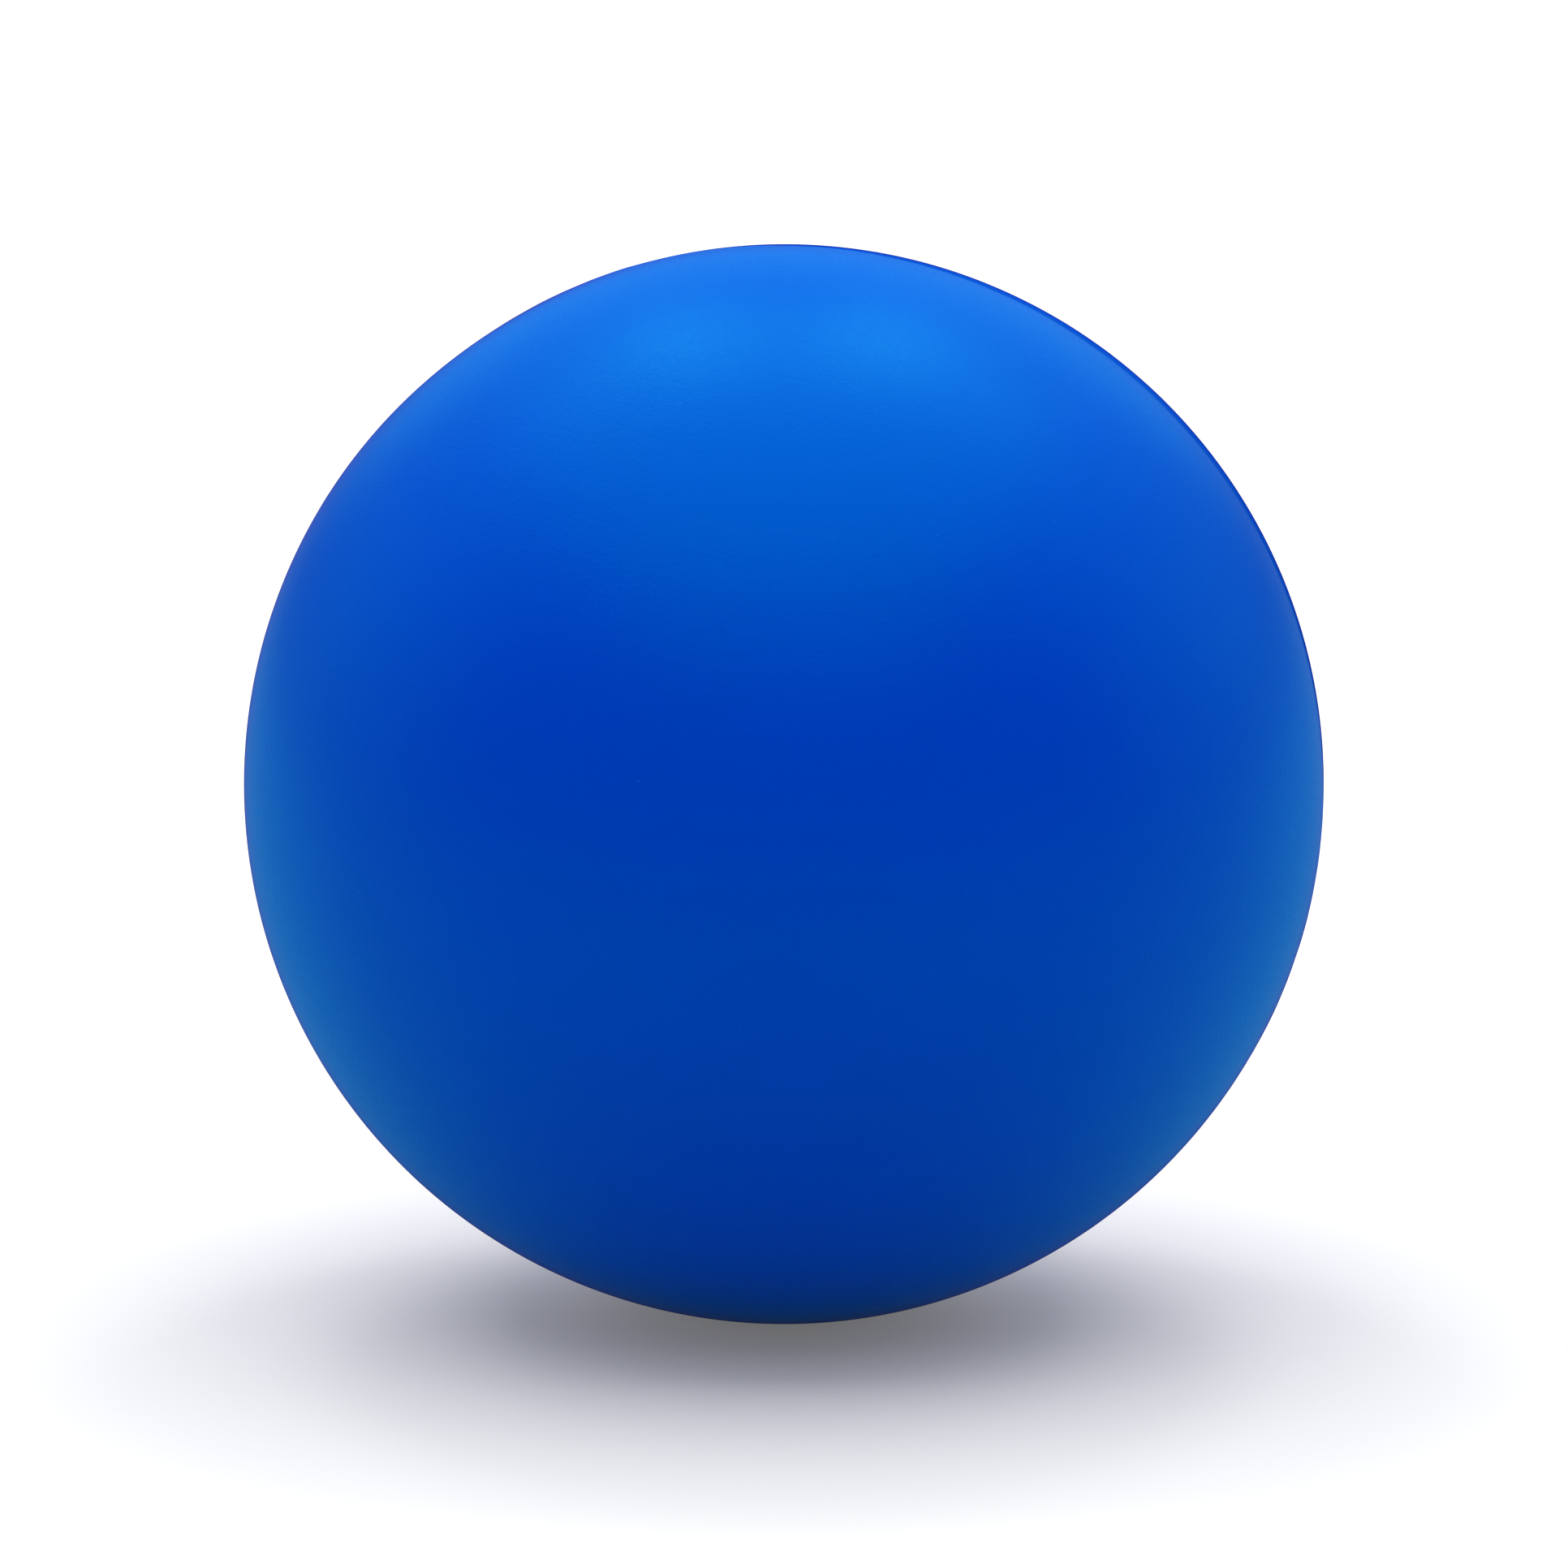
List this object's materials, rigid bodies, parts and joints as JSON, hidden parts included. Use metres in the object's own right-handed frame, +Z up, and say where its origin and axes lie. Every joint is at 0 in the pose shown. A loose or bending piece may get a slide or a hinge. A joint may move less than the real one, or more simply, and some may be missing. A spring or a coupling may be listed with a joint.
{
  "type": "lacrosse ball",
  "caption": "Blue rubber lacrosse ball: a round core inside a moulded cover whose front and rear halves meet in a lapped seam, for throwing, catching and bouncing.",
  "frame": {"origin": "centre of the ball", "axes": "+Z up, +Y along the moulding axis from the front cover to the rear cover; the parting line lies on the XZ plane"},
  "size_m": [0.0636, 0.0636, 0.0636],
  "materials": {
    "blue_rubber": "satin",
    "core_rubber": "matte"
  },
  "bodies": {
    "root": {"core": "core_rubber", "front_cover": "blue_rubber", "rear_cover": "blue_rubber"}
  },
  "joints": []
}
